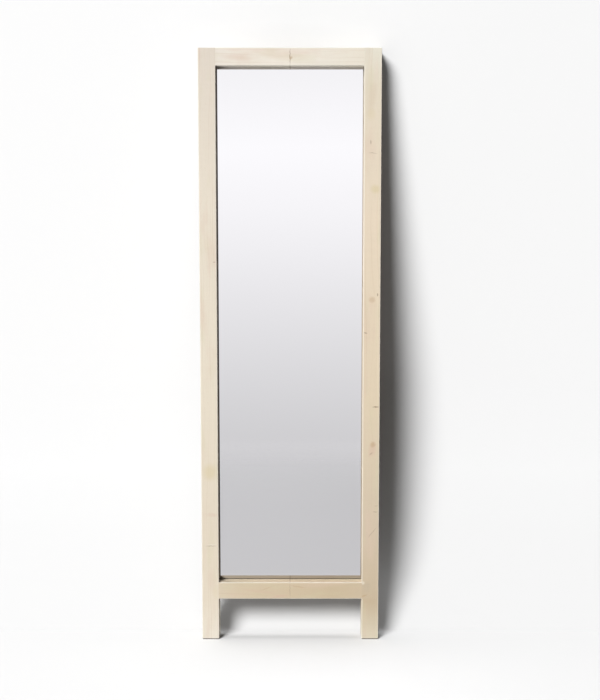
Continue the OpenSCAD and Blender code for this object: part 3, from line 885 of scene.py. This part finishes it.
def sun(name, travel, strength, softness, colour, receivers, blockers, bounces=1):
    """A sun that lights one collection and is shaded by another."""
    lamp = bpy.data.lights.new(name, "SUN")
    lamp.cycles.max_bounces = bounces
    lamp.energy, lamp.angle, lamp.color = strength, softness, colour
    obj = bpy.data.objects.new(name, lamp)
    bpy.context.scene.collection.objects.link(obj)
    obj.rotation_euler = Vector(travel).to_track_quat("-Z", "Y").to_euler()
    obj.light_linking.receiver_collection = receivers
    obj.light_linking.blocker_collection = blockers
    return obj


# what the surroundings add to the paper's light
AIR_SHARE = 0.11

# the paper's side view, as (depth, height), from where it leaves the floor to where it lies flat on the wall
PAPER_CURVE = [(0.030, 0.0), (0.043, 0.003), (0.051, 0.012), (0.061, 0.030), (0.074, 0.052), (0.098, 0.088),
               (0.129, 0.14), (0.151, 0.20), (0.169, 0.28), (0.181, 0.37), (0.188, 0.46), (0.190, 0.56), (0.187, 0.66)]
WALL_HEIGHTS = (0.76, 0.90, 1.05, 1.25, 1.676, 3.2)


def rounded_path(points, steps=4):
    """The same path with smooth bends, by Catmull-Rom."""
    path = [points[0]]
    padded = [points[0], *points, points[-1]]
    for a, b, c, d in zip(padded, padded[1:], padded[2:], padded[3:]):
        for i in range(1, steps + 1):
            t = i / steps
            path.append(tuple(
                0.5 * (2 * q + (r - p) * t + (2 * p - 5 * q + 4 * r - s) * t ** 2 + (3 * q - p - 3 * r + s) * t ** 3)
                for p, q, r, s in zip(a, b, c, d)))
    return path

# how bright the room is at each height, as (sine of the elevation, level)
SKY = [(-1.0, 0.60), (-0.25, 0.638), (-0.2176, 0.652), (-0.183, 0.697), (-0.148, 0.744), (-0.1125, 0.801),
       (-0.0767, 0.861), (-0.041, 0.922), (-0.0046, 0.987), (0.0311, 1.043), (0.0662, 1.083), (0.0835, 1.103),
       (0.1175, 1.063), (0.148, 1.024), (0.3, 0.98), (1.0, 0.95)]


class MIRROR_OT_studio(bpy.types.Operator):
    """Lays the paper sweep and sets the lights, the surroundings and the camera"""

    bl_idname = "mirror.studio"
    bl_label = "Studio"

    def execute(self, context):
        setup = context.scene.mirror_studio
        lean = math.atan2(setup.wall_foot - BUMPER_HIGH.y, BUMPER_HIGH.z)
        profile = rounded_path(
            PAPER_CURVE + [(setup.wall_foot - z * math.tan(lean), z) for z in WALL_HEIGHTS])
        start = profile[0][0]

        alone()
        bpy.ops.mesh.primitive_plane_add(size=1, location=(0, start - 20, 0), scale=(60, 40, 1))
        paper = bpy.context.object
        paper.scale = (60, 40, 1)
        paper = settle("paper_sweep")
        editing(paper)
        pick(paper, "EDGE", lambda e: near(middle(e).y, start, 0.001))
        at = Vector((0, start, 0))
        for y, z in profile[1:]:
            step = Vector((0, y, z)) - at
            bpy.ops.mesh.extrude_region_move(TRANSFORM_OT_translate={"value": step})
            at += step
        alone(paper)
        bpy.ops.object.shade_smooth()
        alone()
        bpy.ops.mesh.primitive_plane_add(size=1, location=(0, 20, -0.002), scale=(60, 40, 1))
        bpy.context.object.scale = (60, 40, 1)
        behind = settle("floor_behind")

        travel = Vector(setup.key_direction).normalized()
        paper_lights = [(travel, 4.3), (Vector((0.06, -0.05, -1.0)).normalized(), 1.6)]
        pieces = bpy.data.collections.new("mirror_pieces")
        stage = bpy.data.collections.new("stage_pieces")
        for obj in context.scene.objects:
            if obj.type == "MESH":
                (stage if obj in (paper, behind) else pieces).objects.link(obj)

        sheet = Finish("studio_paper", Roughness=1.0, Specular_IOR_Level=0.0)
        here = sheet.place()
        x, y, z = sheet.split(here)
        geometry = sheet.node("ShaderNodeNewGeometry", output="Normal")
        light = (1 - sheet.split(geometry)[2] * 0.27) * AIR_SHARE
        for way, strength in paper_lights:
            lit = sheet.node("ShaderNodeVectorMath", {"operation": "DOT_PRODUCT"}, {0: geometry, 1: tuple(-way)}, "Value")
            light = lit.most(0.0) * (strength / math.pi) + light
        level = 1 / light
        # ground: where the paper is seen in the mirror it is painted greyer from about 0.5 m in front outwards, a
        # painted shade in the reflection
        ground = sheet.node("ShaderNodeValToRGB", {"stops": [
            (0.0, (1, 1, 1)), (0.485 / 4, (1, 1, 1)), (0.60 / 4, (0.67,) * 3), (1.6 / 4, (0.67,) * 3),
            (1.0, (0.72,) * 3)]}, {"Fac": (y / -4).clipped()}, "Color")
        in_glass = sheet.node("ShaderNodeLightPath", output="Glossy Depth") > 0.5
        grain = sheet.noise(here, scale=30, detail=3)
        # level evens the paper out to white; the x ramp then paints it up to about 4 % darker towards the right:
        # painted shade
        tone = level * (0.963 + grain * 0.008) * (1 - x.ramped(-0.3, 0.7) * 0.042)
        # two soft spots on the paper behind and just above the top rail, painted darker: painted shade
        for width, height, depth in ((0.36, 0.20, 0.07), (0.32, 0.08, 0.10)):
            tone = tone * (1 - sheet.spot(here, (0, 0.0, BAR_HIGH.z), (width, 0.5, height)) * depth)
        white = sheet.node("ShaderNodeCombineColor", None, {0: tone, 1: tone, 2: tone})
        sheet.set(Base_Color=sheet.blend(in_glass, white, ground, "MULTIPLY"))
        clear = sheet.node("ShaderNodeBsdfTransparent", output="BSDF")
        backwards = sheet.node("ShaderNodeNewGeometry", output="Backfacing")
        bounced = sheet.node("ShaderNodeLightPath", output="Diffuse Depth") > 0.5
        faded = ((x ** 2 + y ** 2) ** 0.5).ramped(1.7, 3.4) * (z < 0.01)
        both = sheet.node("ShaderNodeMixShader", None,
                          {0: backwards.most(bounced).most(faded), 1: Wire(sheet, sheet.shader.outputs[0]), 2: clear})
        sheet.tree.links.new(both.socket, sheet.output.inputs["Surface"])
        sheet.paint(paper, behind)

        softness = (setup.key_softness, math.radians(24))
        for (way, strength), soft in zip(paper_lights, softness):
            sun("paper_light", way, strength, soft, (1, 1, 1), stage, pieces)
        sun("key_light", travel, 3.18, setup.key_softness, (1, 0.995, 0.985), pieces, pieces)
        sun("floor_bounce", (0.40, 0.55, 0.85), 0.95, math.radians(30), (1, 0.99, 0.97), pieces, pieces)
        sun("back_light", (-0.45, -1.0, -0.75), 2.2, math.radians(20), (1, 1, 1), pieces, pieces, 0)
        sun("back_fill", (0.8, -1.0, -0.2), 0.9, math.radians(40), (1, 1, 1), pieces, pieces, 0)

        world = bpy.data.worlds.new("studio_air")
        context.scene.world = world
        world.use_nodes = True
        air = Finish.__new__(Finish)
        air.tree = world.node_tree
        glow = air.tree.nodes["Background"]
        up = air.split(air.node("ShaderNodeTexCoord", output="Generated"))[2]
        seen = air.node("ShaderNodeValToRGB", {"stops": [
            (0.5 + rise / 2, (level,) * 3) for rise, level in SKY]}, {"Fac": up * 0.5 + 0.5}, "Color")
        direct = air.node("ShaderNodeLightPath", output="Diffuse Depth") < 0.5
        side = air.split(air.node("ShaderNodeTexCoord", output="Generated"))[0]
        dim = (1 - side * 0.9) * (1 - up * 0.4) * setup.ambient
        tone = air.blend(direct, air.node("ShaderNodeCombineColor", None, {0: dim, 1: dim, 2: dim}), seen)
        air.tree.links.new(tone.socket, glow.inputs["Color"])

        eye = bpy.data.cameras.new("studio_camera")
        eye.lens, eye.sensor_width, eye.sensor_fit = 57.25, 36.0, "AUTO"
        camera = bpy.data.objects.new("studio_camera", eye)
        context.scene.collection.objects.link(camera)
        camera.location = (0.0279, -3.15525, 1.1375)
        camera.rotation_euler = (math.radians(84.574), 0, 0)
        context.scene.camera = camera
        context.scene.view_settings.view_transform = "Standard"
        return {"FINISHED"}


class MIRROR_PT_panel(bpy.types.Panel):
    """Lists the steps that make the mirror"""

    bl_idname = "MIRROR_PT_panel"
    bl_label = "Floor Mirror"
    bl_space_type = "VIEW_3D"
    bl_region_type = "UI"
    bl_category = "Floor Mirror"

    def draw(self, context):
        for step in STEPS:
            self.layout.operator(step.bl_idname)
        for group in (context.scene.mirror_bars, context.scene.mirror_finishes, context.scene.mirror_studio):
            column = self.layout.column(align=True)
            for name in group.__annotations__:
                column.prop(group, name)


SETTINGS = {"mirror_bars": MirrorBarSettings, "mirror_finishes": MirrorFinishSettings,
            "mirror_studio": MirrorStageSettings}
STEPS = (MIRROR_OT_maple_frame, MIRROR_OT_glass_pack, MIRROR_OT_back_panel, MIRROR_OT_hangers,
         MIRROR_OT_wall_bumpers, MIRROR_OT_foot_pads, MIRROR_OT_studio)


def register():
    for made in (*SETTINGS.values(), *STEPS, MIRROR_PT_panel):
        bpy.utils.register_class(made)
    for name, made in SETTINGS.items():
        setattr(bpy.types.Scene, name, bpy.props.PointerProperty(type=made))


def unregister():
    for name in SETTINGS:
        delattr(bpy.types.Scene, name)
    for made in reversed((*SETTINGS.values(), *STEPS, MIRROR_PT_panel)):
        bpy.utils.unregister_class(made)


def main():
    register()
    for step in STEPS:
        group, name = step.bl_idname.split(".")
        getattr(getattr(bpy.ops, group), name)()


if __name__ == "__main__":
    main()
